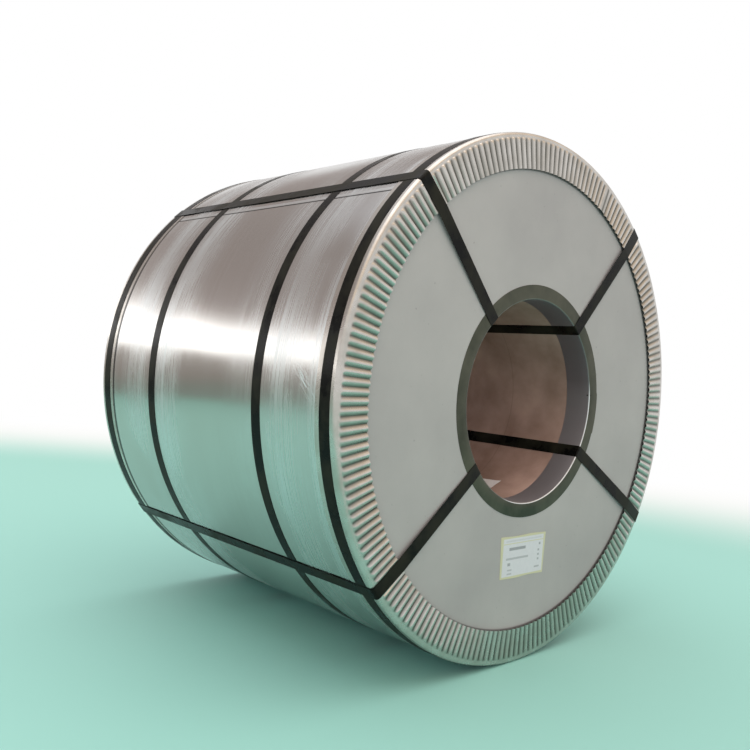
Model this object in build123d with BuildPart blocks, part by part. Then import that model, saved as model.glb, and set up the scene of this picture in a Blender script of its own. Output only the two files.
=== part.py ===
from build123d import *
import os
from math import cos, radians, sin, sqrt

# Steel coil packed for transport, lying with its eye horizontal.
# Origin on the eye's axis at mid-width, +X along the axis to the front end, +Z up.
# All sizes are in millimetres and all angles in degrees.

# Wound strip
strip_width = 1000.0
coil_bore_diameter = 508.0
coil_outer_diameter = 1290.0
end_step_count = 1
end_step_depth = 0.4

# Sheet wrapped round the coil, open along one seam
wrap_thickness = 0.7
wrap_end_setback = 4.0
wrap_seam_angle = 137.5
wrap_seam_gap = 1.5

# Board that lines the bore, open along one seam
liner_thickness = 1.8
liner_seam_angle = -118.0
liner_seam_gap = 1.5

# Disc over each end
disc_thickness = 3.0
disc_rim_gap = 7.0
disc_bore_gap = 2.0

# Steel angle ring over each outer edge, with a fluted flange
outer_ring_gauge = 0.8
outer_ring_leg = 62.0
outer_ring_flange = 85.0
outer_ring_bend = 6.0
outer_ring_standoff = 3.0
flute_count = 198
flute_setback = 0.5
flute_height = 4.0
flute_width = 15.0
flute_plain_rim = 12.0

# Steel angle ring round each end of the bore
inner_ring_gauge = 0.7
inner_ring_leg = 70.0
inner_ring_flange = 35.5
inner_ring_bend = 2.5

# Steel strapping
strap_width = 32.0
strap_thickness = 0.7
strap_face_gap = 0.1
end_hoop_inset = 32.0
front_mid_hoop_position = 241.0
back_mid_hoop_position = -223.0
eye_strap_angles = [133.5, 48.5, -31.0, -141.0]

# Radii that follow from the sizes above
coil_radius = coil_outer_diameter / 2
bore_radius = coil_bore_diameter / 2
wrap_radius = coil_radius + wrap_thickness
outer_ring_radius = wrap_radius + outer_ring_gauge
flange_edge_radius = outer_ring_radius - outer_ring_flange
flute_tip_radius = outer_ring_radius - flute_plain_rim
liner_radius = bore_radius - liner_thickness
eye_radius = liner_radius - inner_ring_gauge

# Places along the axis that follow from the sizes above
half_strip = strip_width / 2
disc_face = half_strip + disc_thickness
flange_back = disc_face + outer_ring_standoff
outer_ring_face = flange_back + outer_ring_gauge
inner_ring_face = disc_face + inner_ring_gauge
end_hoop_position = outer_ring_face - end_hoop_inset

os.makedirs("parts", exist_ok=True)


def save(piece, name):
    piece.label = name
    export_step(piece, f"parts/{name}.step")


def save_pair(piece, name):
    """Save one end's piece and its mirror image at the other end."""
    save(piece, f"{name}_front")
    save(mirror(piece, about=Plane.YZ), f"{name}_back")


def radial_plane(angle):
    """The plane through the axis and one radius, with x along the axis and y outwards."""
    return Plane(
        origin=(0, 0, 0),
        x_dir=(1, 0, 0),
        z_dir=(0, -sin(radians(angle)), cos(radians(angle))),
    )


def turned(profile):
    """A piece turned about the coil's axis, from (place, radius) points."""
    with BuildPart() as piece:
        with BuildSketch(Plane.XY):
            with BuildLine():
                Polyline(*profile, close=True)
            make_face()
        revolve(axis=Axis.X)
    return piece.part


def tube(inner_radius, outer_radius, left, right):
    return turned(
        [
            (left, inner_radius),
            (right, inner_radius),
            (right, outer_radius),
            (left, outer_radius),
        ]
    )


def rolled_sheet(inner_radius, outer_radius, half_length, seam_angle, seam_gap):
    """A sheet rolled into a tube, open along one narrow seam."""
    with BuildPart() as sheet:
        add(tube(inner_radius, outer_radius, -half_length, half_length))
        with BuildSketch(radial_plane(seam_angle)):
            with Locations((0, (inner_radius + outer_radius) / 2)):
                Rectangle(3 * half_length, 4 * (outer_radius - inner_radius))
        extrude(amount=seam_gap / 2, both=True, mode=Mode.SUBTRACT)
    return sheet.part


# Wound coil, its turns a little out of line at the ends in shallow steps
step_ring = (coil_radius - bore_radius) / (end_step_count + 1)
end_profile = [(half_strip, bore_radius)]
for step in range(1, end_step_count + 1):
    step_radius = bore_radius + step_ring * step
    setback_inside = end_step_depth * ((step + 1) % 2)
    setback_outside = end_step_depth * (step % 2)
    end_profile.append((half_strip - setback_inside, step_radius))
    end_profile.append((half_strip - setback_outside, step_radius))
end_profile.append((half_strip - setback_outside, coil_radius))
other_end_profile = [(-place, radius) for place, radius in reversed(end_profile)]
save(turned(end_profile + other_end_profile), "wound_coil")

# Outer wrap
outer_wrap = rolled_sheet(
    coil_radius,
    wrap_radius,
    half_strip - wrap_end_setback,
    wrap_seam_angle,
    wrap_seam_gap,
)
save(outer_wrap, "outer_wrap")

# Bore liner
bore_liner = rolled_sheet(
    liner_radius, bore_radius, half_strip, liner_seam_angle, liner_seam_gap
)
save(bore_liner, "bore_liner")

# Side discs
side_disc = tube(
    bore_radius + disc_bore_gap, coil_radius - disc_rim_gap, half_strip, disc_face
)
save_pair(side_disc, "side_disc")


# One flute, a pleat rooted a little way into the flange, deepest at its inner edge
flute_root = outer_ring_gauge / 4
flute_spread = flute_width / 2 * (1 + flute_root / flute_height)
flute_start = flange_edge_radius + flute_setback
flute_length = (flute_tip_radius - flute_start) * (1 + flute_root / flute_height)
flute_start_plane = Plane(
    origin=(outer_ring_face - flute_root, flute_start, 0), x_dir=(0, 0, 1), z_dir=(0, 1, 0)
)
with BuildPart() as flute:
    with BuildSketch(flute_start_plane) as flute_mouth:
        with BuildLine():
            Polyline(
                (-flute_spread, 0),
                (flute_spread, 0),
                (0, flute_height + flute_root),
                close=True,
            )
        make_face()
    flute_tip = Vertex(*flute_start_plane.offset(flute_length).origin)
    loft(sections=[flute_mouth.sketch, flute_tip], ruled=True)

# Outer edge rings, each a leg over the wrap and a flange over the disc, fluted all round
outer_ring_angle = turned(
    [
        (outer_ring_face - outer_ring_leg, wrap_radius),
        (flange_back - outer_ring_bend, wrap_radius),
        (flange_back, wrap_radius - outer_ring_bend),
        (flange_back, flange_edge_radius),
        (outer_ring_face, flange_edge_radius),
        (outer_ring_face, outer_ring_radius - outer_ring_bend),
        (outer_ring_face - outer_ring_bend, outer_ring_radius),
        (outer_ring_face - outer_ring_leg, outer_ring_radius),
    ]
)
flute_turns = [Rotation(360 * turn / flute_count, 0, 0) for turn in range(flute_count)]
with BuildPart() as outer_ring:
    add(outer_ring_angle)
    with Locations(*flute_turns):
        add(flute.part)
save_pair(outer_ring.part, "outer_ring")

# Inner edge rings, each a leg in the bore and a flange over the disc
inner_ring = turned(
    [
        (inner_ring_face - inner_ring_leg, liner_radius),
        (disc_face - inner_ring_bend, liner_radius),
        (disc_face, liner_radius + inner_ring_bend),
        (disc_face, eye_radius + inner_ring_flange),
        (inner_ring_face, eye_radius + inner_ring_flange),
        (inner_ring_face, eye_radius + inner_ring_bend),
        (inner_ring_face - inner_ring_bend, eye_radius),
        (inner_ring_face - inner_ring_leg, eye_radius),
    ]
)
save_pair(inner_ring, "inner_ring")

# Hoop bands round the coil, the two at the ends over the outer rings' legs
hoops = [
    (end_hoop_position, outer_ring_radius),
    (front_mid_hoop_position, wrap_radius),
    (back_mid_hoop_position, wrap_radius),
    (-end_hoop_position, outer_ring_radius),
]
for number, (position, seat_radius) in enumerate(hoops, start=1):
    hoop = tube(
        seat_radius,
        seat_radius + strap_thickness,
        position - strap_width / 2,
        position + strap_width / 2,
    )
    save(hoop, f"hoop_band_{number}")

# Eye straps, each a closed loop over the hoops, down both faces and through the bore
half_width = strap_width / 2
over_hoops = outer_ring_radius + strap_thickness
in_eye = sqrt(eye_radius**2 - half_width**2)
crest_radius = sqrt(flange_edge_radius**2 - half_width**2)
front_run = [
    (outer_ring_face + strap_face_gap, over_hoops),
    (outer_ring_face + flute_height + strap_face_gap, crest_radius),
    (inner_ring_face + strap_face_gap, in_eye),
]
back_run = [(-place, radius) for place, radius in reversed(front_run)]
outer_corners = [front_run[0], back_run[-1]]
eye_corners = [front_run[-1], back_run[0]]
for number, angle in enumerate(eye_strap_angles, start=1):
    with BuildPart() as eye_strap:
        with BuildSketch(radial_plane(angle)) as loop:
            with BuildLine():
                Polyline(*front_run, *back_run, close=True)
            make_face()
            for corner in outer_corners:
                chamfer(loop.vertices().sort_by_distance(corner)[0], outer_ring_bend)
            for corner in eye_corners:
                chamfer(loop.vertices().sort_by_distance(corner)[0], inner_ring_bend)
            inside = loop.sketch_local
            offset(amount=strap_thickness, kind=Kind.INTERSECTION)
            add(inside, mode=Mode.SUBTRACT)
        extrude(amount=half_width, both=True)
    save(eye_strap.part, f"eye_strap_{number}")
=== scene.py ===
# Steel coil packed for transport, lying with its eye horizontal.
# Origin on the eye's axis at mid-width, +X along the axis to the front end, +Z up, in metres.

import math

import bpy
from mathutils import Matrix, Vector


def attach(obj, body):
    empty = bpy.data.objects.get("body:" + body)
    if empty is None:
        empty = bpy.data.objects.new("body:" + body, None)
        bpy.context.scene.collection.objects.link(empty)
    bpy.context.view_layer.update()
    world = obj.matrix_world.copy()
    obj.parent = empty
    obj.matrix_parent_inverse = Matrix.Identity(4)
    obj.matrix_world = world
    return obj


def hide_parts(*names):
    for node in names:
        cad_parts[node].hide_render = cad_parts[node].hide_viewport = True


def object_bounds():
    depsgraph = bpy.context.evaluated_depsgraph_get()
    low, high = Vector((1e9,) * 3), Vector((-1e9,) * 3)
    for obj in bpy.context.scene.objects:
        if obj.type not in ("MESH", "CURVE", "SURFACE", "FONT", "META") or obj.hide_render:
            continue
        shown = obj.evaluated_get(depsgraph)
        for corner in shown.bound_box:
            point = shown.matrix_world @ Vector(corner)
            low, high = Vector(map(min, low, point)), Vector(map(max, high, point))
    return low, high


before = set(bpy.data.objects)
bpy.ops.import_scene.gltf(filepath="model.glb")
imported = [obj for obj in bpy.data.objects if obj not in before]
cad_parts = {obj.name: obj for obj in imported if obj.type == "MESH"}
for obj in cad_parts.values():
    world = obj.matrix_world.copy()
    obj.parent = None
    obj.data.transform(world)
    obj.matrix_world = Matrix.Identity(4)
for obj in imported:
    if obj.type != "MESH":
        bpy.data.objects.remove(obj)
cad_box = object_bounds()

# Camera
# It looks at the front end and the side from 45 degrees round and just above the eye,
# where the circles of the end and of the hoop bands put the photograph's own camera.
camera_place = (1.69734, -1.67068, 0.07286)
camera_right = (0.68409, 0.72603, 0.06997)
camera_up = (-0.06058, -0.03905, 0.9974)
camera_back = (0.72688, -0.68655, 0.01727)
camera_lens = 39.15
camera_sensor_width = 36
camera_data = bpy.data.cameras.new("camera")
camera_data.lens = camera_lens
camera_data.sensor_width = camera_sensor_width
camera_data.clip_end = 100
camera = bpy.data.objects.new("camera", camera_data)
bpy.context.scene.collection.objects.link(camera)
camera_axes = Matrix((camera_right, camera_up, camera_back)).transposed()
camera.matrix_world = Matrix.Translation(camera_place) @ camera_axes.to_4x4()
bpy.context.scene.camera = camera

# Floor and background
# A plain pale green painted floor, which the polished steel mirrors in its lower half.
# It fades to the white of the background a few metres out, as a lit studio sweep does, and
# reaches further on the left, where the side of the coil mirrors it.
floor_colour = "#9AD2CA"
floor_far_colour = "#F4F6F5"
background_colour = "#FFFFFF"
floor_half_size = 14.0
floor_cells = 40
floor_paint_centre = (-0.9, -0.75, 0)
floor_paint_reach = (5.6, 3.5, 1)
floor_paint_turn = 34
floor_fade_start = 0.6
floor_fade_end = 1.25

# Places of the sockets of a Mix node that mixes colours: its two colours and its result.
colour_a, colour_b, colour_out = 6, 7, 2


def colour(hex_value):
    """Turn an sRGB hex value into the linear colour that a shader takes."""
    channels = [int(hex_value[place : place + 2], 16) / 255 for place in (1, 3, 5)]
    linear = [c / 12.92 if c <= 0.04045 else ((c + 0.055) / 1.055) ** 2.4 for c in channels]
    return (*linear, 1.0)


def add_node(tree, kind, settings=None, links=None):
    """Add a node, set its options and sockets, and link its inputs to other nodes' outputs."""
    node = tree.nodes.new(kind)
    for name, value in (settings or {}).items():
        if isinstance(name, int) or name in node.inputs:
            node.inputs[name].default_value = value
        else:
            setattr(node, name, value)
    for name, source in (links or {}).items():
        tree.links.new(source, node.inputs[name])
    return node


def start_material(name):
    """A new material with its tree, its shader and the Object coordinates that its pattern reads."""
    material = bpy.data.materials.new(name)
    material.use_nodes = True
    tree = material.node_tree
    shader = tree.nodes["Principled BSDF"]
    coordinates = add_node(tree, "ShaderNodeTexCoord")
    return material, tree, shader, coordinates.outputs["Object"]


bpy.ops.object.select_all(action="DESELECT")
floor_height = cad_box[0].z
bpy.ops.mesh.primitive_grid_add(
    x_subdivisions=floor_cells,
    y_subdivisions=floor_cells,
    size=2 * floor_half_size,
    location=(0, 0, floor_height),
)
floor = bpy.context.object
floor.name = "floor"
bpy.ops.object.transform_apply(location=True, rotation=False, scale=False)

floor_paint, tree, shader, position = start_material("painted_floor")
painted_area = add_node(
    tree,
    "ShaderNodeMapping",
    {
        "vector_type": "TEXTURE",
        "Location": floor_paint_centre,
        "Rotation": (0, 0, math.radians(floor_paint_turn)),
        "Scale": floor_paint_reach,
    },
    {"Vector": position},
)
flat_place = add_node(
    tree, "ShaderNodeVectorMath", {"operation": "MULTIPLY", 1: (1, 1, 0)}, {0: painted_area.outputs[0]}
)
distance = add_node(
    tree, "ShaderNodeVectorMath", {"operation": "LENGTH"}, {0: flat_place.outputs[0]}
)
fade = add_node(
    tree,
    "ShaderNodeMapRange",
    {"interpolation_type": "SMOOTHSTEP", "From Min": floor_fade_start, "From Max": floor_fade_end},
    {"Value": distance.outputs["Value"]},
)
floor_mix = add_node(
    tree,
    "ShaderNodeMix",
    {"data_type": "RGBA", colour_a: colour(floor_colour), colour_b: colour(floor_far_colour)},
    {0: fade.outputs["Result"]},
)
tree.links.new(floor_mix.outputs[colour_out], shader.inputs["Base Color"])
shader.inputs["Roughness"].default_value = 0.6
shader.inputs["Specular IOR Level"].default_value = 0.2

# The far floor glows in the background's white, for the camera and in what the steel mirrors.
glow = add_node(tree, "ShaderNodeEmission", {"Color": colour(background_colour), "Strength": 1.0})
light_path = add_node(tree, "ShaderNodeLightPath")
seen = light_path.outputs["Is Camera Ray"]
for ray in ("Is Glossy Ray", "Is Transmission Ray"):
    either = add_node(
        tree,
        "ShaderNodeMath",
        {"operation": "ADD", "use_clamp": True},
        {0: seen, 1: light_path.outputs[ray]},
    )
    seen = either.outputs[0]
glow_share = add_node(
    tree, "ShaderNodeMath", {"operation": "MULTIPLY"}, {0: seen, 1: fade.outputs["Result"]}
)
floor_shader = add_node(
    tree,
    "ShaderNodeMixShader",
    links={0: glow_share.outputs[0], 1: shader.outputs[0], 2: glow.outputs[0]},
)
tree.links.new(floor_shader.outputs[0], tree.nodes["Material Output"].inputs["Surface"])
floor.data.materials.append(floor_paint)

# Light
# A hall lit from one side: bright low windows on the left and a soft overhead lamp. The
# background is white at the horizon; above it the hall is brown behind and warmly lit in front.
white = (1.0, 1.0, 1.0)
horizon_top = 0.43
ceiling_tint = (1.05, 0.96, 0.87)
brown_hall = [
    (0.47, (0.44, 0.385, 0.365)),
    (0.61, (0.42, 0.37, 0.35)),
    (0.72, (0.74, 0.73, 0.75)),
]
warm_hall = [(0.47, (1.05, 0.90, 0.74)), (0.75, (1.15, 0.96, 0.78))]
front_start, front_full = -0.3, 0.1
lamp_place = (0.6, -0.6, 4.4)
lamp_size = 6.0
lamp_power = 130.0
lamp_colour = "#FBF9FC"


def fill_ramp(ramp, steps):
    """Give a colour ramp its (place, tint) steps, which run from place 0 to place 1."""
    ramp.elements[0].color = (*steps[0][1], 1)
    ramp.elements[1].color = (*steps[-1][1], 1)
    for place, tint in steps[1:-1]:
        ramp.elements.new(place).color = (*tint, 1)


bpy.context.scene.view_settings.view_transform = "Standard"
world = bpy.data.worlds.new("hall")
world.use_nodes = True
bpy.context.scene.world = world
tree = world.node_tree
direction = add_node(tree, "ShaderNodeTexCoord")
direction_parts = add_node(
    tree, "ShaderNodeSeparateXYZ", links={"Vector": direction.outputs["Generated"]}
)
skies = []
for hall_steps in (brown_hall, warm_hall):
    sky = add_node(tree, "ShaderNodeValToRGB", links={"Fac": direction_parts.outputs["Z"]})
    sky.color_ramp.interpolation = "EASE"
    fill_ramp(sky.color_ramp, [(0, white), (horizon_top, white), *hall_steps, (1, ceiling_tint)])
    skies.append(sky)
front_share = add_node(
    tree,
    "ShaderNodeMapRange",
    {"From Min": front_start, "From Max": front_full},
    {"Value": direction_parts.outputs["X"]},
)
hall = add_node(
    tree,
    "ShaderNodeMix",
    {"data_type": "RGBA"},
    {
        0: front_share.outputs["Result"],
        colour_a: skies[0].outputs["Color"],
        colour_b: skies[1].outputs["Color"],
    },
)
tree.links.new(hall.outputs[colour_out], tree.nodes["Background"].inputs["Color"])
tree.nodes["Background"].inputs["Strength"].default_value = 1.0

lamp_data = bpy.data.lights.new("overhead_lamp", "AREA")
lamp_data.shape = "SQUARE"
lamp_data.size = lamp_size
lamp_data.energy = lamp_power
lamp_data.color = colour(lamp_colour)[:3]
lamp = bpy.data.objects.new("overhead_lamp", lamp_data)
bpy.context.scene.collection.objects.link(lamp)
lamp.location = lamp_place
lamp.visible_camera = False

# The lit side of the hall: a grey-brown wall with one row of windows, brightest at the sill and
# shallower towards the front. It stands outside the camera's view, and the steel mirrors it.
wall_place = (-3.9, -2.6)
wall_length = 6.4
wall_height = 3.6
window_sill = 1.18
narrowing_reach = 1.3
narrowing_back, narrowing_front = 0.75, 1.9
wall_table = [
    (0.0, (0.30, 0.34, 0.30)),
    (0.20, (0.36, 0.33, 0.30)),
    (0.95, (0.50, 0.46, 0.43)),
    (1.12, (0.80, 0.75, 0.71)),
    (window_sill, (3.0, 3.0, 2.95)),
    (1.95, (2.6, 2.55, 2.55)),
    (2.25, (1.1, 1.05, 1.02)),
    (2.60, (0.52, 0.46, 0.44)),
    (wall_height, (0.44, 0.385, 0.365)),
]
bpy.ops.object.select_all(action="DESELECT")
bpy.ops.mesh.primitive_plane_add(size=1, location=(*wall_place, floor_height + wall_height / 2))
window_wall = bpy.context.object
window_wall.name = "window_wall"
window_wall.scale = (wall_length, wall_height, 1)
window_wall.rotation_euler = (math.pi / 2, 0, math.atan2(-wall_place[0], wall_place[1]))
bpy.ops.object.transform_apply(location=True, rotation=True, scale=True)
window_wall.visible_camera = False
window_wall.visible_shadow = False
wall_light, tree, shader, position = start_material("lit_hall_wall")
wall_parts = add_node(tree, "ShaderNodeSeparateXYZ", links={"Vector": position})
above_sill = add_node(
    tree,
    "ShaderNodeMath",
    {"operation": "SUBTRACT", 1: floor_height + window_sill},
    {0: wall_parts.outputs["Z"]},
)
narrowing = add_node(
    tree,
    "ShaderNodeMapRange",
    {
        "From Min": wall_place[0] - narrowing_reach,
        "From Max": wall_place[0] + narrowing_reach,
        "To Min": narrowing_back,
        "To Max": narrowing_front,
    },
    {"Value": wall_parts.outputs["X"]},
)
narrowed = add_node(
    tree,
    "ShaderNodeMath",
    {"operation": "MULTIPLY"},
    {0: above_sill.outputs[0], 1: narrowing.outputs["Result"]},
)
wall_share = add_node(
    tree,
    "ShaderNodeMapRange",
    {"From Min": -window_sill, "From Max": wall_height - window_sill},
    {"Value": narrowed.outputs[0]},
)
wall_ramp = add_node(tree, "ShaderNodeValToRGB", links={"Fac": wall_share.outputs["Result"]})
fill_ramp(wall_ramp.color_ramp, [(height / wall_height, tint) for height, tint in wall_table])
wall_glow = add_node(
    tree, "ShaderNodeEmission", {"Strength": 1.0}, {"Color": wall_ramp.outputs["Color"]}
)
tree.links.new(wall_glow.outputs[0], tree.nodes["Material Output"].inputs["Surface"])
window_wall.data.materials.append(wall_light)

# Wound coil
# Cold-rolled strip wound on a mandrel, so the turns show as fine rings on its ends.
# The discs and edge rings cover nearly all of it, and the source's own turned solid stays.
# The turns are drawn 6 mm apart, coarser than the strip's gauge, so that they show.
turn_pitch = 0.006


def distance_from_axis(tree, position):
    """How far each point of a piece lies from the coil's axis."""
    flat_place = add_node(
        tree, "ShaderNodeVectorMath", {"operation": "MULTIPLY", 1: (0, 1, 1)}, {0: position}
    )
    distance = add_node(
        tree, "ShaderNodeVectorMath", {"operation": "LENGTH"}, {0: flat_place.outputs[0]}
    )
    return distance.outputs["Value"]


def dress_node(node_name, material):
    """Give a piece whose shape stays as the source has it a better material."""
    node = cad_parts[node_name]
    node.data.materials.clear()
    node.data.materials.append(material)


# Sheared edges of cold-rolled steel: satin metal, in fine bright and dark rings.
turns, tree, shader, position = start_material("rolled_strip_edges")
turn_wave = add_node(
    tree,
    "ShaderNodeMath",
    {"operation": "PINGPONG", 1: turn_pitch / 2},
    {0: distance_from_axis(tree, position)},
)
turn_shade = add_node(
    tree,
    "ShaderNodeMapRange",
    {"From Max": turn_pitch / 2, "To Min": 0.35, "To Max": 1.0},
    {"Value": turn_wave.outputs[0]},
)
turn_mix = add_node(
    tree,
    "ShaderNodeMix",
    {"data_type": "RGBA", colour_a: colour("#2A2B2B"), colour_b: colour("#6E7071")},
    {0: turn_shade.outputs["Result"]},
)
tree.links.new(turn_mix.outputs[colour_out], shader.inputs["Base Color"])
shader.inputs["Metallic"].default_value = 1.0
shader.inputs["Roughness"].default_value = 0.38
turn_bump = add_node(
    tree, "ShaderNodeBump", {"Strength": 0.6, "Distance": 0.0006}, {"Height": turn_wave.outputs[0]}
)
tree.links.new(turn_bump.outputs[0], shader.inputs["Normal"])
dress_node("wound_coil", turns)

# Outer wrap
# One stainless sheet rolled round the coil, with the mill's smooth finish and its fine streaks
# along the rolling direction. Its two ends meet in a narrow seam beside the upper strap.
half_strip = 0.5
wrap_radius = 0.6457
wrap_half_length = 0.496
wrap_gauge = 0.0007
wrap_seam_angle = 137.5
wrap_seam_gap = 0.0015
wrap_columns = 720
wrap_rows = 24
weld_distance = 0.00001


def close_edit(piece, smooth_angle=40):
    """Leave edit mode with doubles merged and normals outwards, and shade the piece smooth."""
    bpy.ops.mesh.select_all(action="SELECT")
    bpy.ops.mesh.remove_doubles(threshold=weld_distance)
    bpy.ops.mesh.normals_make_consistent(inside=False)
    bpy.ops.object.mode_set(mode="OBJECT")
    bpy.ops.object.shade_smooth_by_angle(angle=math.radians(smooth_angle))


def apply_modifier(piece, kind, **settings):
    """Add a modifier with its settings and apply it."""
    bpy.ops.object.select_all(action="DESELECT")
    piece.select_set(True)
    bpy.context.view_layer.objects.active = piece
    modifier = piece.modifiers.new(kind.lower(), kind)
    for name, value in settings.items():
        setattr(modifier, name, value)
    bpy.ops.object.modifier_apply(modifier=modifier.name)


def give_gauge(piece, gauge, side=-1.0, smooth_angle=40):
    """Give a sheet its thickness, inwards or outwards of its faces, and shade it smooth."""
    apply_modifier(piece, "SOLIDIFY", thickness=gauge, offset=side, use_even_offset=True)
    bpy.ops.object.shade_smooth_by_angle(angle=math.radians(smooth_angle))


def turn_about_axis(piece, degrees):
    """Turn a piece's mesh about the coil's axis, from +Y towards +Z."""
    piece.data.transform(Matrix.Rotation(math.radians(degrees), 4, "X"))
    piece.data.update()


def rolled_sheet(name, radius, half_length, gauge, seam_angle, seam_gap, columns, rows):
    """A sheet of a gauge, rolled about the coil's axis from a straight edge and open at its seam."""
    start_depth = 0.01
    opening = seam_gap / radius
    bpy.ops.object.select_all(action="DESELECT")
    bpy.ops.mesh.primitive_plane_add(size=1, location=(0, radius, 0))
    sheet = bpy.context.object
    sheet.name = name
    sheet.scale = (2 * half_length, start_depth, 1)
    bpy.ops.object.transform_apply(location=True, rotation=True, scale=True)
    bpy.ops.object.mode_set(mode="EDIT")
    bpy.ops.mesh.select_mode(type="VERT")
    bpy.ops.mesh.select_all(action="DESELECT")
    bpy.ops.object.mode_set(mode="OBJECT")
    for vertex in sheet.data.vertices:
        vertex.select = vertex.co.y > radius
    bpy.ops.object.mode_set(mode="EDIT")
    bpy.ops.mesh.delete(type="VERT")
    bpy.ops.mesh.select_all(action="SELECT")
    bpy.ops.transform.translate(value=(0, start_depth / 2, 0))
    bpy.ops.mesh.subdivide(number_cuts=rows - 1)
    bpy.ops.mesh.spin(steps=columns, angle=math.tau - opening, center=(0, 0, 0), axis=(1, 0, 0))
    close_edit(sheet)
    give_gauge(sheet, gauge)
    turn_about_axis(sheet, seam_angle + math.degrees(opening / 2))
    return sheet


def finish_piece(piece, node_names, material):
    """Give a finished piece its material, its place on the root body and the nodes it stands for."""
    piece.data.materials.clear()
    piece.data.materials.append(material)
    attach(piece, "root")
    if node_names:
        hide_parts(*node_names)


wrap = rolled_sheet(
    "outer_wrap_sheet",
    wrap_radius,
    wrap_half_length,
    wrap_gauge,
    wrap_seam_angle,
    wrap_seam_gap,
    wrap_columns,
    wrap_rows,
)

# Cold-rolled stainless steel, smooth mill finish: a blurred mirror, drawn out round the coil
# by rolling streaks, and hazed in bands where it has been rubbed.
# A grain has one size, or one along the coil and another across it. A haze band has its place
# along the coil, as a share of its length, and its strength.
streak_grain = (0.003846, 0.625)
rub_grain = (0.003125, 0.2857)
patch_grain = (0.2, 0.4167)
buckle_grain = (0.4545, 0.6667)
plain_haze = 0.4
haze_table = [
    (0.0, plain_haze),
    (0.10, 0.10),
    (0.17, 0.85),
    (0.22, 0.60),
    (0.26, 0.10),
    (0.33, 0.90),
    (0.41, 0.45),
    (0.47, 0.05),
    (0.60, 0.10),
    (0.69, 0.45),
    (0.75, 0.15),
    (0.81, 0.65),
    (0.86, 0.45),
    (0.91, 0.25),
    (0.95, 0.80),
    (1.0, plain_haze),
]


def grains(tree, position, size, detail, roughness):
    """A noise whose grains have one size, or one along the coil and another across it."""
    along, across = size if isinstance(size, tuple) else (size, size)
    grain_place = add_node(
        tree,
        "ShaderNodeMapping",
        {"Scale": (1 / along, 1 / across, 1 / across)},
        {"Vector": position},
    )
    noise = add_node(
        tree,
        "ShaderNodeTexNoise",
        {"Scale": 1.0, "Detail": detail, "Roughness": roughness},
        {"Vector": grain_place.outputs[0]},
    )
    return noise.outputs[0]


def blotches(tree, position, size, detail, roughness, low, high):
    """The share of a second tone over a surface: none where the grains are low, all where high."""
    share = add_node(
        tree,
        "ShaderNodeMapRange",
        {"From Min": low, "From Max": high},
        {"Value": grains(tree, position, size, detail, roughness)},
    )
    return share.outputs["Result"]


def line_at(tree, value, middle, full_half, faded_half, strength=1.0):
    """A line where a value comes near its middle, of full strength inside its fading sides."""
    off = add_node(tree, "ShaderNodeMath", {"operation": "SUBTRACT", 1: middle}, {0: value})
    away = add_node(tree, "ShaderNodeMath", {"operation": "ABSOLUTE"}, {0: off.outputs[0]})
    line = add_node(
        tree,
        "ShaderNodeMapRange",
        {"From Min": full_half, "From Max": faded_half, "To Min": strength, "To Max": 0.0},
        {"Value": away.outputs[0]},
    )
    return line.outputs["Result"]


steel, tree, shader, position = start_material("cold_rolled_stainless_sheet")
place_parts = add_node(tree, "ShaderNodeSeparateXYZ", links={"Vector": position})
length_share = add_node(
    tree, "ShaderNodeMath", {"operation": "ADD", 1: half_strip}, {0: place_parts.outputs["X"]}
)
haze_bands = add_node(tree, "ShaderNodeValToRGB", links={"Fac": length_share.outputs[0]})
fill_ramp(haze_bands.color_ramp, [(place, (amount,) * 3) for place, amount in haze_table])
streaks = grains(tree, position, streak_grain, detail=4.0, roughness=0.65)
rub_share = blotches(tree, position, rub_grain, detail=4.0, roughness=0.7, low=0.27, high=0.58)
patch_share = blotches(tree, position, patch_grain, detail=4.0, roughness=0.6, low=0.3, high=0.52)
haze_spread = add_node(
    tree, "ShaderNodeMath", {"operation": "MULTIPLY"}, {0: rub_share, 1: patch_share}
)
haze = add_node(
    tree,
    "ShaderNodeMath",
    {"operation": "MULTIPLY"},
    {0: haze_bands.outputs["Color"], 1: haze_spread.outputs[0]},
)

# Scuffs: a patch of short slanting scratches near the front hoop.
scuff_centre = (0.415, -0.645, 0.012)
scuff_reach = (0.085, 0.2, 0.022)
scuff_slant = 44
scratches_across_patch = (1.3, 1, 6.5)
scuff_place = add_node(
    tree,
    "ShaderNodeMapping",
    {
        "vector_type": "TEXTURE",
        "Location": scuff_centre,
        "Rotation": (0, math.radians(scuff_slant), 0),
        "Scale": scuff_reach,
    },
    {"Vector": position},
)
scuff_distance = add_node(
    tree, "ShaderNodeVectorMath", {"operation": "LENGTH"}, {0: scuff_place.outputs[0]}
)
scuff_area = add_node(
    tree,
    "ShaderNodeMapRange",
    {"From Min": 0.35, "From Max": 1.0, "To Min": 1.0, "To Max": 0.0},
    {"Value": scuff_distance.outputs["Value"]},
)
scratch_place = add_node(
    tree, "ShaderNodeMapping", {"Scale": scratches_across_patch}, {"Vector": scuff_place.outputs[0]}
)
scratches = add_node(
    tree,
    "ShaderNodeTexNoise",
    {"Scale": 1.6, "Detail": 3.0, "Roughness": 0.6, "Distortion": 0.4},
    {"Vector": scratch_place.outputs[0]},
)
scratch_share = add_node(
    tree, "ShaderNodeMapRange", {"From Min": 0.5, "From Max": 0.57}, {"Value": scratches.outputs[0]}
)
scuff = add_node(
    tree,
    "ShaderNodeMath",
    {"operation": "MULTIPLY"},
    {0: scratch_share.outputs["Result"], 1: scuff_area.outputs["Result"]},
)
rubbed = add_node(
    tree, "ShaderNodeMath", {"operation": "MAXIMUM"}, {0: haze.outputs[0], 1: scuff.outputs[0]}
)

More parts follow.
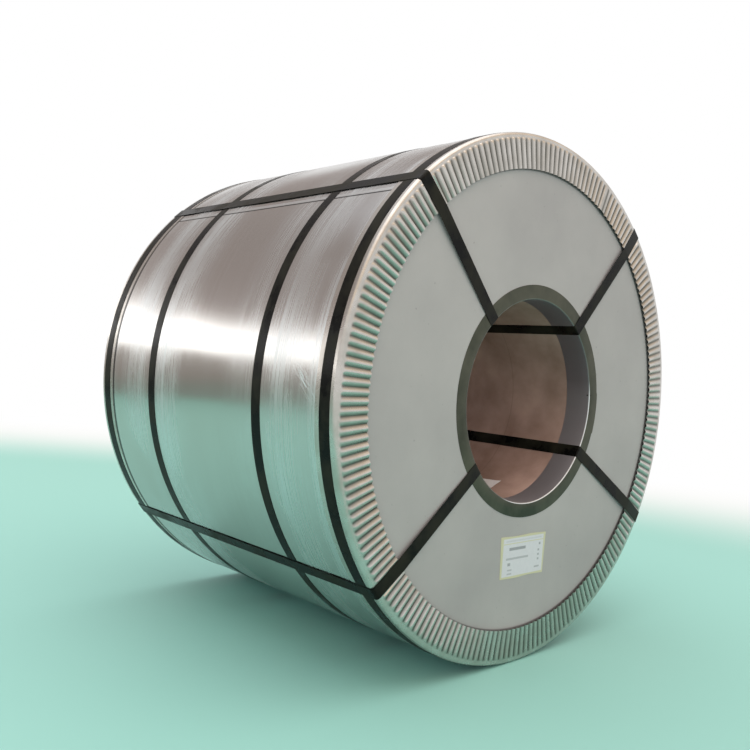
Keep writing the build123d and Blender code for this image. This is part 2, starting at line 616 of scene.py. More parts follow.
# The sheet's lapped end, a hazed strip between the upper strap and the seam, painted lighter as a
# highlight.
wrap_lap_angle = 136.85
angle_round = add_node(
    tree,
    "ShaderNodeMath",
    {"operation": "ARCTAN2"},
    {0: place_parts.outputs["Z"], 1: place_parts.outputs["Y"]},
)
lap_highlight_strip = line_at(
    tree,
    angle_round.outputs[0],
    math.radians(wrap_lap_angle),
    full_half=math.radians(0.45),
    faded_half=math.radians(0.6),
    strength=0.45,
)
haze_and_lap_highlight = add_node(
    tree, "ShaderNodeMath", {"operation": "MAXIMUM"}, {0: rubbed.outputs[0], 1: lap_highlight_strip}
)
streak_mix = add_node(
    tree,
    "ShaderNodeMix",
    {"data_type": "RGBA", colour_a: colour("#BAB6B2"), colour_b: colour("#C8C6C3")},
    {0: streaks},
)
steel_mix = add_node(
    tree,
    "ShaderNodeMix",
    {"data_type": "RGBA", colour_b: colour("#DAE0E2")},
    {0: haze_and_lap_highlight.outputs[0], colour_a: streak_mix.outputs[colour_out]},
)

# Painted shadow: a dark line along the seam, where the lapped edge shades the gap, and a dark line of
# oil and painted shadow beside the back ring's leg.
leg_dark_line_place = -0.4395
seam_shadow_line = line_at(
    tree,
    angle_round.outputs[0],
    math.radians(wrap_seam_angle),
    full_half=math.radians(0.13),
    faded_half=math.radians(0.24),
    strength=0.9,
)
leg_oil_and_shadow_line = line_at(
    tree,
    place_parts.outputs["X"],
    leg_dark_line_place,
    full_half=0.0035,
    faded_half=0.0055,
    strength=0.9,
)
oil_and_shadow_lines = add_node(tree, "ShaderNodeMath", {"operation": "MAXIMUM"}, {0: leg_oil_and_shadow_line, 1: seam_shadow_line})
oil_and_shadow_mix = add_node(
    tree,
    "ShaderNodeMix",
    {"data_type": "RGBA", colour_b: colour("#17191A")},
    {0: oil_and_shadow_lines.outputs[0], colour_a: steel_mix.outputs[colour_out]},
)
steel_roughness = add_node(
    tree, "ShaderNodeMapRange", {"To Min": 0.16, "To Max": 0.5}, {"Value": haze_and_lap_highlight.outputs[0]}
)

# The streaks are shallow, and the sheet buckles a little over the turns under it.
streak_bump = add_node(
    tree, "ShaderNodeBump", {"Strength": 0.2, "Distance": 0.0002}, {"Height": streaks}
)
buckles = grains(tree, position, buckle_grain, detail=1.0, roughness=0.4)
buckle_bump = add_node(
    tree,
    "ShaderNodeBump",
    {"Strength": 0.7, "Distance": 0.02},
    {"Height": buckles, "Normal": streak_bump.outputs[0]},
)
tree.links.new(oil_and_shadow_mix.outputs[colour_out], shader.inputs["Base Color"])
tree.links.new(steel_roughness.outputs["Result"], shader.inputs["Roughness"])
tree.links.new(buckle_bump.outputs[0], shader.inputs["Normal"])
shader.inputs["Metallic"].default_value = 1.0
finish_piece(wrap, ["outer_wrap"], steel)

# Bore liner
# Brown board rolled into a tube inside the bore and held at its ends by the inner rings' legs,
# with a seam low down and faint joints between its panels.
liner_radius = 0.2522
liner_gauge = 0.0018
liner_seam_angle = -118
liner_seam_gap = 0.0015
liner_columns = 360
liner_rows = 16
liner = rolled_sheet(
    "bore_liner_board",
    liner_radius + liner_gauge,
    half_strip,
    liner_gauge,
    liner_seam_angle,
    liner_seam_gap,
    liner_columns,
    liner_rows,
)

# Solid brown board: matt paper pulp with a faint mottle and thin darker joints between panels.
pulp_grain = 0.00385
mottle_grain = 0.1429
panel_length = 0.25
joint_width = 0.0016
board, tree, shader, position = start_material("brown_board")
mottle = blotches(tree, position, mottle_grain, detail=4.0, roughness=0.55, low=0.3, high=0.7)
board_mix = add_node(
    tree,
    "ShaderNodeMix",
    {"data_type": "RGBA", colour_a: colour("#94786C"), colour_b: colour("#C3A498")},
    {0: mottle},
)
place_parts = add_node(tree, "ShaderNodeSeparateXYZ", links={"Vector": position})
from_joint = add_node(
    tree,
    "ShaderNodeMath",
    {"operation": "PINGPONG", 1: panel_length / 2},
    {0: place_parts.outputs["X"]},
)
joint_line = add_node(
    tree,
    "ShaderNodeMapRange",
    {"From Min": 0.0, "From Max": joint_width, "To Min": 0.72, "To Max": 1.0},
    {"Value": from_joint.outputs[0]},
)
board_shade = add_node(
    tree,
    "ShaderNodeMix",
    {"data_type": "RGBA", "blend_type": "MULTIPLY", 0: 1.0},
    {colour_a: board_mix.outputs[colour_out], colour_b: joint_line.outputs["Result"]},
)
board_bump = add_node(
    tree,
    "ShaderNodeBump",
    {"Strength": 0.25, "Distance": 0.0003},
    {"Height": grains(tree, position, pulp_grain, detail=3.0, roughness=0.6)},
)
tree.links.new(board_shade.outputs[colour_out], shader.inputs["Base Color"])
tree.links.new(board_bump.outputs[0], shader.inputs["Normal"])
shader.inputs["Roughness"].default_value = 0.7
finish_piece(liner, ["bore_liner"], board)

# Paper scrap
# A torn corner of pale wrapping paper stuck to the liner, low inside the front of the bore.
# It follows the liner's curve, is ragged along its torn edges and lifts at its front corner.
scrap_corners = [(0.269, 0.102, -0.231), (0.3405, 0.107, -0.228), (0.344, 0.054, -0.246)]
scrap_gauge = 0.0002
scrap_cuts = 5
scrap_lift = 0.0012
scrap_lift_place = 0.335
scrap_tear = 0.0012
tear_waves = (700, 900)
bpy.ops.object.select_all(action="DESELECT")
bpy.ops.mesh.primitive_circle_add(vertices=3, radius=1, fill_type="NGON")
scrap = bpy.context.object
scrap.name = "paper_scrap"
for vertex, corner in zip(scrap.data.vertices, scrap_corners):
    vertex.co = corner
scrap.data.update()
bpy.ops.object.mode_set(mode="EDIT")
bpy.ops.mesh.select_all(action="SELECT")
bpy.ops.mesh.quads_convert_to_tris()
bpy.ops.mesh.subdivide(number_cuts=scrap_cuts)
bpy.ops.object.mode_set(mode="OBJECT")
for vertex in scrap.data.vertices:
    place, y, z = vertex.co
    lift = scrap_lift * (place > scrap_lift_place)
    seat = (liner_radius - 2 * scrap_gauge - lift) / math.hypot(y, z)
    ragged = scrap_tear * math.sin(tear_waves[1] * y + tear_waves[0] * place)
    vertex.co = (place + ragged, y * seat, z * seat)
scrap.data.update()
if scrap.data.polygons[0].normal.z < 0:
    scrap.data.flip_normals()
apply_modifier(scrap, "SOLIDIFY", thickness=scrap_gauge, offset=-1.0)

# Thin bleached paper: matt and slightly fibrous.
fibre_grain = 0.00333
paper, tree, shader, position = start_material("bleached_wrapping_paper")
fibres = grains(tree, position, fibre_grain, detail=3.0, roughness=0.6)
paper_mix = add_node(
    tree,
    "ShaderNodeMix",
    {"data_type": "RGBA", colour_a: colour("#E2DCDD"), colour_b: colour("#FAF7F8")},
    {0: fibres},
)
paper_bump = add_node(
    tree, "ShaderNodeBump", {"Strength": 0.3, "Distance": 0.0003}, {"Height": fibres}
)
tree.links.new(paper_mix.outputs[colour_out], shader.inputs["Base Color"])
tree.links.new(paper_bump.outputs[0], shader.inputs["Normal"])
shader.inputs["Roughness"].default_value = 0.75
finish_piece(scrap, [], paper)

# Side discs
# A flat grey-green board over each end, cut round with a hole for the eye and held by the
# edge rings' flanges. It is smooth and matt, a little mottled, with a few specks of dirt, and
# a band of dust and painted shadow darkens it under the outer flange's edge.
cloud_grain = 0.3125
speck_grain = 0.01053
board_grain = 0.00238
dust_and_shadow_start, dust_and_shadow_full = 0.5575, 0.5605
disc_board, tree, shader, position = start_material("grey_green_board")
clouds = blotches(tree, position, cloud_grain, detail=5.0, roughness=0.55, low=0.3, high=0.7)
disc_mix = add_node(
    tree,
    "ShaderNodeMix",
    {"data_type": "RGBA", colour_a: colour("#A09C9D"), colour_b: colour("#AFABAB")},
    {0: clouds},
)
speck_shade = add_node(
    tree,
    "ShaderNodeMapRange",
    {"From Min": 0.72, "From Max": 0.78, "To Min": 1.0, "To Max": 0.75},
    {"Value": grains(tree, position, speck_grain, detail=2.0, roughness=0.5)},
)
# Dust, with a painted shadow of the flange's edge, darkens the disc under the flange.
dust_and_shadow_shade = add_node(
    tree,
    "ShaderNodeMapRange",
    {"From Min": dust_and_shadow_start, "From Max": dust_and_shadow_full, "To Min": 1.0, "To Max": 0.45},
    {"Value": distance_from_axis(tree, position)},
)
for shade in (speck_shade, dust_and_shadow_shade):
    disc_mix = add_node(
        tree,
        "ShaderNodeMix",
        {"data_type": "RGBA", "blend_type": "MULTIPLY", 0: 1.0},
        {colour_a: disc_mix.outputs[colour_out], colour_b: shade.outputs["Result"]},
    )
disc_bump = add_node(
    tree,
    "ShaderNodeBump",
    {"Strength": 0.15, "Distance": 0.0002},
    {"Height": grains(tree, position, board_grain, detail=2.0, roughness=0.5)},
)
tree.links.new(disc_mix.outputs[colour_out], shader.inputs["Base Color"])
tree.links.new(disc_bump.outputs[0], shader.inputs["Normal"])
shader.inputs["Roughness"].default_value = 0.55
for node_name in ("side_disc_front", "side_disc_back"):
    dress_node(node_name, disc_board)

# Outer edge rings
# A steel angle bent round each outer edge: a leg over the wrap, and a flange that is pleated
# into 198 flutes as the tool shrinks it, each deepest at the flange's inner edge.
# flute_rise has the height along a flute at each radius, and flute_section the height across it
# from crest to furrow, both as shares of flute_height. Near a strap the flutes are pressed down,
# so that the strap lies over them.
ring_radius = 0.6465
ring_face = 0.5068
ring_gauge = 0.0008
ring_leg = 0.062
ring_mid_leg = 0.03
ring_bend = 0.008
ring_bend_steps = 6
flange_edge_radius = 0.5615
flute_count = 198
columns_per_flute = 8
flute_section = (1.0, 0.91, 0.62, 0.24, 0.0)
flute_height = 0.0048
flute_rise = [
    (0.6345, 0.0),
    (0.6318, 0.42),
    (0.6280, 0.64),
    (0.6220, 0.74),
    (0.6050, 0.80),
    (0.5870, 0.90),
    (0.5660, 1.0),
    (0.5615, 1.0),
]
rise_margin = 0.0001
flange_margin = 0.0005
ring_lap_angle = 65.7
ring_lap_half_pitches = 0.65
ring_lap_rise = 0.92
strap_angles = [133.5, 48.5, -31.0, -141.0]
strap_half_width = 0.016
strap_gauge = 0.0007
strap_rise = 0.004
strap_gap = 0.0001
strap_margin = 0.003
over_hoops = ring_radius + strap_gauge
crest_radius = math.sqrt(flange_edge_radius**2 - strap_half_width**2)


def turned_sheet(name, profile, columns):
    """A circle about the coil's axis, extruded from one (place, radius) to the next."""
    place, radius = profile[0]
    bpy.ops.object.select_all(action="DESELECT")
    bpy.ops.mesh.primitive_circle_add(
        vertices=columns, radius=radius, location=(place, 0, 0), rotation=(0, math.pi / 2, 0)
    )
    sheet = bpy.context.object
    sheet.name = name
    bpy.ops.object.transform_apply(location=True, rotation=True, scale=True)
    bpy.ops.object.mode_set(mode="EDIT")
    bpy.ops.mesh.select_mode(type="EDGE")
    bpy.ops.mesh.select_all(action="SELECT")
    for next_place, next_radius in profile[1:]:
        bpy.ops.mesh.extrude_edges_move(
            TRANSFORM_OT_translate={"value": (next_place - place, 0, 0)}
        )
        ratio = next_radius / radius
        bpy.ops.transform.resize(value=(1, ratio, ratio), center_override=(next_place, 0, 0))
        place, radius = next_place, next_radius
    return sheet


def bend(centre_place, centre_radius, size, steps):
    """Points of a square round bend, from facing outwards to facing along the axis."""
    points = []
    for step in range(steps + 1):
        angle = math.pi / 2 * step / steps
        points.append(
            (centre_place + size * math.sin(angle), centre_radius + size * math.cos(angle))
        )
    return points


def rise_at(radius):
    """The flutes' height at a radius, as a share of their height at the inner edge."""
    for (outer, low), (inner, high) in zip(flute_rise, flute_rise[1:]):
        if inner <= radius <= outer:
            return low + (high - low) * (outer - radius) / (outer - inner)
    return 1.0


def pleat(ring):
    """Raise the flutes on the flange, with a flat lap where the strip's two ends meet."""
    pitch = math.tau / flute_count
    for vertex in ring.data.vertices:
        place, y, z = vertex.co
        radius = math.hypot(y, z)
        if place < ring_face - flange_margin or radius > flute_rise[0][0] - rise_margin:
            continue
        share = rise_at(radius)
        angle = math.atan2(z, y)
        phase = (angle / pitch) % 1.0 - 0.5
        column = round(phase * columns_per_flute)
        lift = flute_height * share * flute_section[abs(column)]
        if abs(math.degrees(angle) - ring_lap_angle) < ring_lap_half_pitches * 360 / flute_count:
            lift = ring_lap_rise * flute_height * share
        for strap_angle in strap_angles:
            off = abs((math.degrees(angle) - strap_angle + 180) % 360 - 180)
            if math.radians(off) * radius < strap_half_width + strap_margin:
                under_strap = strap_rise * (over_hoops - radius) / (over_hoops - crest_radius)
                lift = min(lift, under_strap - strap_gap)
        if abs(column) < columns_per_flute / 2:
            angle += column / columns_per_flute * (flange_edge_radius / radius - 1) * pitch
        vertex.co = (place + lift, radius * math.cos(angle), radius * math.sin(angle))
    ring.data.update()


ring_profile = [(ring_face - ring_leg, ring_radius), (ring_face - ring_mid_leg, ring_radius)]
ring_profile += bend(ring_face - ring_bend, ring_radius - ring_bend, ring_bend, ring_bend_steps)
ring_profile += [(ring_face, rise_radius) for rise_radius, _ in flute_rise]
ring = turned_sheet("outer_ring_front_fluted", ring_profile, flute_count * columns_per_flute)
close_edit(ring)
pleat(ring)
give_gauge(ring, ring_gauge, smooth_angle=24)

# The same sheet, sheared and formed: brighter than the wrap, with fine grain round the leg.
form_grain = (0.002, 0.1667)
wear_grain = 0.0714
ring_steel, tree, shader, position = start_material("formed_stainless_angle")
wear_share = blotches(tree, position, wear_grain, detail=5.0, roughness=0.65, low=0.35, high=0.7)
ring_mix = add_node(
    tree,
    "ShaderNodeMix",
    {"data_type": "RGBA", colour_a: colour("#CBC7C2"), colour_b: colour("#B4AFA8")},
    {0: wear_share},
)

# Painted shade darkens the furrow between two flutes.
half_pitch = math.pi / flute_count
furrow_start, furrow_end = 0.05, 0.68
furrow_inside, furrow_outside = 0.6305, 0.6350
ring_parts = add_node(tree, "ShaderNodeSeparateXYZ", links={"Vector": position})
ring_angle = add_node(
    tree,
    "ShaderNodeMath",
    {"operation": "ARCTAN2"},
    {0: ring_parts.outputs["Z"], 1: ring_parts.outputs["Y"]},
)
furrow_phase = add_node(
    tree, "ShaderNodeMath", {"operation": "PINGPONG", 1: half_pitch}, {0: ring_angle.outputs[0]}
)
furrow_shade_share = add_node(
    tree,
    "ShaderNodeMapRange",
    {
        "From Min": half_pitch * furrow_start,
        "From Max": half_pitch * furrow_end,
        "To Min": 0.82,
        "To Max": 0.0,
    },
    {"Value": furrow_phase.outputs[0]},
)
furrow_shade_reach = add_node(
    tree,
    "ShaderNodeMapRange",
    {"From Min": furrow_inside, "From Max": furrow_outside, "To Min": 1.0, "To Max": 0.0},
    {"Value": distance_from_axis(tree, position)},
)
furrow_shade = add_node(
    tree,
    "ShaderNodeMath",
    {"operation": "MULTIPLY"},
    {0: furrow_shade_share.outputs["Result"], 1: furrow_shade_reach.outputs["Result"]},
)
furrow_shade_mix = add_node(
    tree,
    "ShaderNodeMix",
    {"data_type": "RGBA", colour_b: colour("#46473F")},
    {0: furrow_shade.outputs[0], colour_a: ring_mix.outputs[colour_out]},
)
ring_roughness = add_node(
    tree, "ShaderNodeMapRange", {"To Min": 0.22, "To Max": 0.38}, {"Value": wear_share}
)
ring_bump = add_node(
    tree,
    "ShaderNodeBump",
    {"Strength": 0.2, "Distance": 0.0002},
    {"Height": grains(tree, position, form_grain, detail=3.0, roughness=0.6)},
)
tree.links.new(furrow_shade_mix.outputs[colour_out], shader.inputs["Base Color"])
tree.links.new(ring_roughness.outputs["Result"], shader.inputs["Roughness"])
tree.links.new(ring_bump.outputs[0], shader.inputs["Normal"])
shader.inputs["Metallic"].default_value = 1.0


def mirrored_copy(piece, name):
    """The same piece at the back end: a copy mirrored about mid-width, its faces outwards."""
    copy = piece.copy()
    copy.data = piece.data.copy()
    copy.name = name
    bpy.context.scene.collection.objects.link(copy)
    copy.data.transform(Matrix.Diagonal((-1, 1, 1, 1)))
    copy.data.flip_normals()
    return copy


ring_back = mirrored_copy(ring, "outer_ring_back_fluted")
finish_piece(ring, ["outer_ring_front"], ring_steel)
finish_piece(ring_back, ["outer_ring_back"], ring_steel)

# Inner edge rings
# A plain steel angle round each end of the bore, its flange flat on the disc and its leg
# over the liner's end. It is dull and greener than the wrap; its rounded bend has a painted highlight.
eye_radius = 0.2515
inner_face = 0.5037
inner_gauge = 0.0007
inner_leg = 0.07
inner_mid_leg = 0.03
inner_flange = 0.0355
inner_bend = 0.0025
inner_bend_steps = 4
inner_columns = 360
inner_profile = [(inner_face - inner_leg, eye_radius), (inner_face - inner_mid_leg, eye_radius)]
inner_profile += [
    (place, 2 * (eye_radius + inner_bend) - radius)
    for place, radius in bend(
        inner_face - inner_bend, eye_radius + inner_bend, inner_bend, inner_bend_steps
    )
]
inner_profile += [
    (inner_face, eye_radius + inner_flange / 2),
    (inner_face, eye_radius + inner_flange),
]
inner_ring = turned_sheet("inner_ring_front_angle", inner_profile, inner_columns)
close_edit(inner_ring)
inner_ring.data.flip_normals()

# The strip's two ends lap over a short arc, where the flange stands a little proud and wide.
lap_low, lap_high = -16, 5
lap_lift = 0.0005
lap_spread = 0.0013
angle_margin = 0.1
radius_margin = 0.001
for vertex in inner_ring.data.vertices:
    place, y, z = vertex.co
    radius = math.hypot(y, z)
    angle = math.degrees(math.atan2(z, y))
    in_lap = lap_low - angle_margin < angle < lap_high + angle_margin
    if in_lap and radius > eye_radius + inner_bend + radius_margin:
        at_edge = radius > eye_radius + inner_flange - radius_margin
        spread = 1 + lap_spread / radius * at_edge
        vertex.co = (place + lap_lift, y * spread, z * spread)
inner_ring.data.update()
give_gauge(inner_ring, inner_gauge, side=1.0)

# Dull rolled steel: a dark grey-green satin, clouded by oil. The leg in the bore keeps the
# mill's matt grey, and the bend between carries a painted highlight, strongest low on the +Y side.
dull_grain = 0.1111
leg_inside, leg_outside = eye_radius + 0.0004, eye_radius + 0.0009
bend_highlight_radius = eye_radius + 0.0013
highlight_side_angle = math.radians(-50)
dull_steel, tree, shader, position = start_material("dull_rolled_steel_angle")
dull_share = blotches(tree, position, dull_grain, detail=4.0, roughness=0.6, low=0.35, high=0.65)
dull_mix = add_node(
    tree,
    "ShaderNodeMix",
    {"data_type": "RGBA", colour_a: colour("#41443A"), colour_b: colour("#58584C")},
    {0: dull_share},
)
dull_roughness = add_node(
    tree, "ShaderNodeMapRange", {"To Min": 0.28, "To Max": 0.42}, {"Value": dull_share}
)
inner_distance = distance_from_axis(tree, position)
leg_share = add_node(
    tree,
    "ShaderNodeMapRange",
    {"From Min": leg_inside, "From Max": leg_outside, "To Min": 1.0, "To Max": 0.0},
    {"Value": inner_distance},
)
leg_mix = add_node(
    tree,
    "ShaderNodeMix",
    {"data_type": "RGBA", colour_b: colour("#8E888E")},
    {0: leg_share.outputs["Result"], colour_a: dull_mix.outputs[colour_out]},
)
leg_roughness = add_node(
    tree,
    "ShaderNodeMix",
    {"data_type": "FLOAT", "B": 0.62},
    {0: leg_share.outputs["Result"], "A": dull_roughness.outputs["Result"]},
)
# A painted highlight along the rounded bend, strongest low on the +Y side.
bend_highlight_line = line_at(tree, inner_distance, bend_highlight_radius, full_half=0.0008, faded_half=0.0014)
highlight_side = add_node(
    tree,
    "ShaderNodeVectorMath",
    {
        "operation": "DOT_PRODUCT",
        1: (0, math.cos(highlight_side_angle), math.sin(highlight_side_angle)),
    },
    {0: position},
)
highlight_side_share = add_node(
    tree,
    "ShaderNodeMapRange",
    {"From Min": 0.45 * eye_radius, "From Max": 0.6 * eye_radius, "To Min": 0.12, "To Max": 1.0},
    {"Value": highlight_side.outputs["Value"]},
)
painted_bend_highlight = add_node(
    tree,
    "ShaderNodeMath",
    {"operation": "MULTIPLY"},
    {0: bend_highlight_line, 1: highlight_side_share.outputs["Result"]},
)
bend_highlight_mix = add_node(
    tree,
    "ShaderNodeMix",
    {"data_type": "RGBA", colour_b: colour("#DADCDC")},
    {0: painted_bend_highlight.outputs[0], colour_a: leg_mix.outputs[colour_out]},
)

# Two small rivets at the lap, one on the flange and one on the leg, drawn as dark dots.
rivet_size = 0.0017
rivet_fade = 1.4
rivet_places = [(inner_face, 0.2565, 0.0205), (inner_face - 0.006, 0.2505, 0.0205)]
rivet_mix = bend_highlight_mix
for rivet_place in rivet_places:
    from_rivet = add_node(
        tree, "ShaderNodeVectorMath", {"operation": "DISTANCE", 1: rivet_place}, {0: position}
    )
    rivet_share = add_node(
        tree,
        "ShaderNodeMapRange",
        {"From Min": rivet_size, "From Max": rivet_size * rivet_fade, "To Min": 0.9, "To Max": 0.0},
        {"Value": from_rivet.outputs["Value"]},
    )
    rivet_mix = add_node(
        tree,
        "ShaderNodeMix",
        {"data_type": "RGBA", colour_b: colour("#1A1A1A")},
        {0: rivet_share.outputs["Result"], colour_a: rivet_mix.outputs[colour_out]},
    )
tree.links.new(rivet_mix.outputs[colour_out], shader.inputs["Base Color"])
tree.links.new(leg_roughness.outputs[0], shader.inputs["Roughness"])
shader.inputs["Metallic"].default_value = 1.0
inner_back = mirrored_copy(inner_ring, "inner_ring_back_angle")
finish_piece(inner_ring, ["inner_ring_front"], dull_steel)
finish_piece(inner_back, ["inner_ring_back"], dull_steel)

# Hoop bands
# Four black steel straps drawn tight round the coil, the end two on the edge rings' legs.
# Each is a flat band of strapping with its two outer edges eased.
strap_edge = 0.0002
end_hoop_place = 0.4748
hoop_columns = 720
hoop_table = [
    ("hoop_band_1", end_hoop_place, ring_radius),
    ("hoop_band_2", 0.241, wrap_radius),
    ("hoop_band_3", -0.223, wrap_radius),
    ("hoop_band_4", -end_hoop_place, ring_radius),
]

# Black waxed strapping: blued steel under a thin semi-gloss coat, with olive smears along it.
smear_grain = 0.0714
strapping, tree, shader, position = start_material("black_waxed_steel_strapping")
smear_share = blotches(tree, position, smear_grain, detail=5.0, roughness=0.6, low=0.42, high=0.62)
strap_mix = add_node(
    tree,
    "ShaderNodeMix",
    {"data_type": "RGBA", colour_a: colour("#090A0A"), colour_b: colour("#23221B")},
    {0: smear_share},
)
strap_roughness = add_node(
    tree, "ShaderNodeMapRange", {"To Min": 0.24, "To Max": 0.45}, {"Value": smear_share}
)
tree.links.new(strap_mix.outputs[colour_out], shader.inputs["Base Color"])
tree.links.new(strap_roughness.outputs["Result"], shader.inputs["Roughness"])
shader.inputs["Specular IOR Level"].default_value = 0.09

for hoop_name, place, seat in hoop_table:
    low, high = place - strap_half_width, place + strap_half_width
    top = seat + strap_gauge
    hoop_profile = [
        (low, seat),
        (low, top - strap_edge),
        (low + strap_edge, top),
        (place, top),
        (high - strap_edge, top),
        (high, top - strap_edge),
        (high, seat),
        (low, seat),
    ]
    hoop = turned_sheet(hoop_name + "_strap", hoop_profile, hoop_columns)
    close_edit(hoop, smooth_angle=30)
    finish_piece(hoop, [hoop_name], strapping)

# Eye straps
# Four straps of the same strapping, each drawn over the hoops, down both ends and back through
# the bore, bent sharply at the rings' edges and carried clear by the flutes' crests.
outer_corner = 0.008
crest_corner = 0.004
eye_corner = 0.003
corner_steps = 6
in_eye = math.sqrt(eye_radius**2 - strap_half_width**2)
front_run = [
    (ring_face + strap_gap, over_hoops),
    (ring_face + strap_rise + strap_gap, crest_radius),
    (inner_face + strap_gap, in_eye),
]


def rounded_run(points, sizes):
    """A closed run of (place, radius) points with each corner rounded to its own size."""
    rounded = []
    for number, (point, size) in enumerate(zip(points, sizes)):
        here = Vector(point)
        before = (Vector(points[number - 1]) - here).normalized()
        after = (Vector(points[(number + 1) % len(points)]) - here).normalized()
        start, end = here + before * size, here + after * size
        for step in range(corner_steps + 1):
            share = step / corner_steps
            rounded.append(
                start * (1 - share) ** 2 + here * 2 * share * (1 - share) + end * share**2
            )
    return rounded


strap_points = front_run + [(-place, radius) for place, radius in reversed(front_run)]
front_corners = [outer_corner, crest_corner, eye_corner]
strap_run = rounded_run(strap_points, front_corners + front_corners[::-1])
for number, strap_angle in enumerate(strap_angles, start=1):
    bpy.ops.object.select_all(action="DESELECT")
    bpy.ops.mesh.primitive_circle_add(
        vertices=len(strap_run), radius=1, location=(0, 0, -strap_half_width)
    )
    strap = bpy.context.object
    strap.name = f"eye_strap_{number}_band"
    bpy.ops.object.transform_apply(location=True, rotation=True, scale=True)
    for vertex, point in zip(strap.data.vertices, strap_run):
        vertex.co = (point.x, point.y, -strap_half_width)
    bpy.ops.object.mode_set(mode="EDIT")
    bpy.ops.mesh.select_mode(type="EDGE")
    bpy.ops.mesh.select_all(action="SELECT")
    for _ in range(2):
        bpy.ops.mesh.extrude_edges_move(TRANSFORM_OT_translate={"value": (0, 0, strap_half_width)})
    close_edit(strap)
    apply_modifier(strap, "SOLIDIFY", thickness=strap_gauge, offset=1.0, use_even_offset=True)
    apply_modifier(strap, "BEVEL", width=strap_edge, segments=1, limit_method="ANGLE")
    bpy.ops.object.shade_smooth_by_angle(angle=math.radians(35))
    turn_about_axis(strap, strap_angle)
    finish_piece(strap, [f"eye_strap_{number}"], strapping)

# Ruled tag
# A white card under clear film, stuck on the front disc, with a pale yellow border. It bears only
# ruled fields and plain grey bars where a mill would print, and no words.
tag_left, tag_right = -0.0855, 0.0925
tag_bottom, tag_top = -0.4345, -0.331
card_gauge = 0.00045
card_face = 0.0005
tag_cuts = 7
tag_flare = 0.05
tag_trim = 0.02
tag_bow = 0.001
tag_bow_turn = 9
tag_cockle = 0.00025
tag_cockle_turns = (17, 5)
tag_flat_edge = 0.45
disc_face = 0.503

bpy.ops.object.select_all(action="DESELECT")
bpy.ops.mesh.primitive_plane_add(size=1, rotation=(0, math.pi / 2, 0))
tag = bpy.context.object
tag.name = "ruled_tag"
bpy.ops.object.transform_apply(location=True, rotation=True, scale=True)
bpy.ops.object.mode_set(mode="EDIT")
bpy.ops.mesh.select_all(action="SELECT")
bpy.ops.mesh.subdivide(number_cuts=tag_cuts)
bpy.ops.object.mode_set(mode="OBJECT")
tag_centre = ((tag_left + tag_right) / 2, (tag_bottom + tag_top) / 2)
tag_width, tag_depth = tag_right - tag_left, tag_top - tag_bottom
for vertex in tag.data.vertices:
    across, up = vertex.co.y, vertex.co.z
    y = tag_centre[0] + across * tag_width * (1 + tag_flare * (up + 0.5) - tag_trim)
    z = tag_centre[1] + up * tag_depth + tag_bow * math.sin(tag_bow_turn * across)
    turn = tag_cockle_turns[0] * across + tag_cockle_turns[1] * up
    cockle = tag_cockle * (1 + math.sin(turn))
    vertex.co = (disc_face + card_face + cockle * (abs(across) < tag_flat_edge), y, z)
tag.data.update()
bpy.ops.object.mode_set(mode="EDIT")
bpy.ops.mesh.select_all(action="SELECT")
bpy.ops.mesh.normals_make_consistent(inside=False)
bpy.ops.object.mode_set(mode="OBJECT")
if tag.data.polygons[0].normal.x < 0:
    tag.data.flip_normals()
apply_modifier(tag, "SOLIDIFY", thickness=card_gauge, offset=-1.0)
bpy.ops.object.shade_smooth_by_angle(angle=math.radians(30))

# Printed card: matt white paper under a smooth film. Its rules and bars are given by their
# shares of the card's width and height, and the grey bars by how dark they are as well.
card_fibre_grain = 0.00833
print_softness = 0.012
card_border = (0.045, 0.965, 0.05, 0.95)
header_rule = (0.045, 0.965, 0.815, 0.835)
bar_table = [
    (0.18, 0.55, 0.66, 0.73, 0.55),
    (0.12, 0.62, 0.44, 0.49, 0.35),
    (0.16, 0.22, 0.30, 0.37, 0.5),
    (0.16, 0.26, 0.18, 0.215, 0.35),
    (0.16, 0.26, 0.09, 0.125, 0.35),
    (0.86, 0.90, 0.70, 0.76, 0.5),
    (0.84, 0.88, 0.55, 0.60, 0.45),
    (0.84, 0.88, 0.44, 0.49, 0.45),
    (0.84, 0.88, 0.33, 0.38, 0.45),
    (0.78, 0.90, 0.15, 0.19, 0.4),
    (0.10, 0.92, 0.87, 0.905, 0.14),
]
card, tree, shader, position = start_material("white_card_under_film")
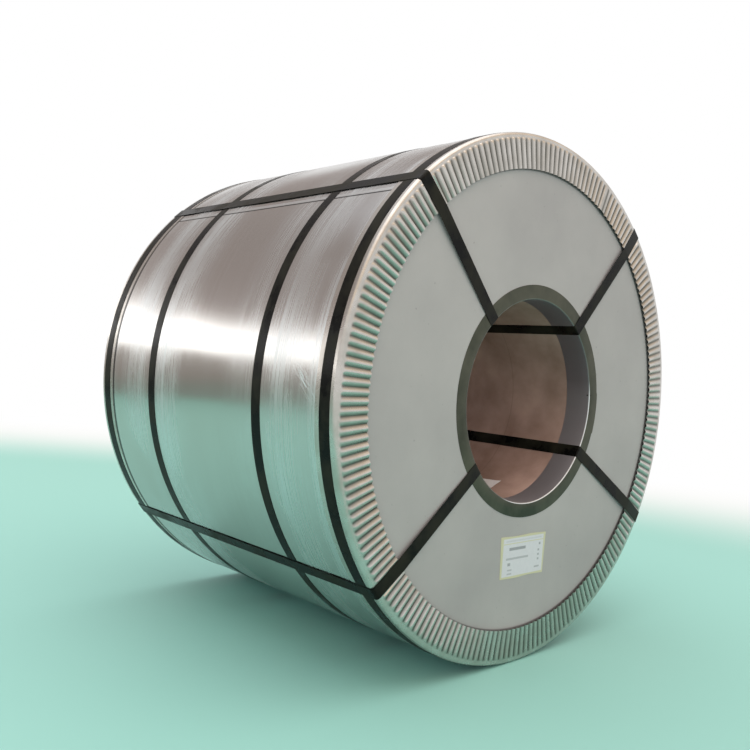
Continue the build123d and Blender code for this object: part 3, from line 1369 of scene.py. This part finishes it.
card_place = add_node(
    tree,
    "ShaderNodeMapping",
    {
        "vector_type": "TEXTURE",
        "Location": (0, tag_left, tag_bottom),
        "Scale": (1, tag_width, tag_depth),
    },
    {"Vector": position},
)
card_parts = add_node(tree, "ShaderNodeSeparateXYZ", links={"Vector": card_place.outputs[0]})


def printed_bar(low_across, high_across, low_up, high_up, strength=1.0):
    """One plain bar on the card, from shares of the card's width and height."""
    sides = []
    for source, low, high in (("Y", low_across, high_across), ("Z", low_up, high_up)):
        half = (high - low) / 2
        sides.append(
            line_at(
                tree,
                card_parts.outputs[source],
                (low + high) / 2,
                half - print_softness / 2,
                half + print_softness / 2,
            )
        )
    bar = add_node(tree, "ShaderNodeMath", {"operation": "MULTIPLY"}, {0: sides[0], 1: sides[1]})
    inked = add_node(
        tree, "ShaderNodeMath", {"operation": "MULTIPLY", 1: strength}, {0: bar.outputs[0]}
    )
    return inked.outputs[0]


ink = printed_bar(*bar_table[0])
for bar_row in bar_table[1:]:
    darker = add_node(
        tree, "ShaderNodeMath", {"operation": "MAXIMUM"}, {0: ink, 1: printed_bar(*bar_row)}
    )
    ink = darker.outputs[0]
card_mix = add_node(
    tree,
    "ShaderNodeMix",
    {"data_type": "RGBA", colour_a: colour("#CBC9D1"), colour_b: colour("#D8D6DD")},
    {0: grains(tree, position, card_fibre_grain, detail=3.0, roughness=0.6)},
)
bordered = add_node(
    tree,
    "ShaderNodeMix",
    {"data_type": "RGBA", colour_a: colour("#C8C3A4")},
    {0: printed_bar(*card_border), colour_b: card_mix.outputs[colour_out]},
)
ruled = add_node(
    tree,
    "ShaderNodeMix",
    {"data_type": "RGBA", colour_b: colour("#C8C3A4")},
    {0: printed_bar(*header_rule), colour_a: bordered.outputs[colour_out]},
)
printed = add_node(
    tree,
    "ShaderNodeMix",
    {"data_type": "RGBA", colour_b: colour("#3C4144")},
    {0: ink, colour_a: ruled.outputs[colour_out]},
)
tree.links.new(printed.outputs[colour_out], shader.inputs["Base Color"])
shader.inputs["Roughness"].default_value = 0.35
finish_piece(tag, [], card)
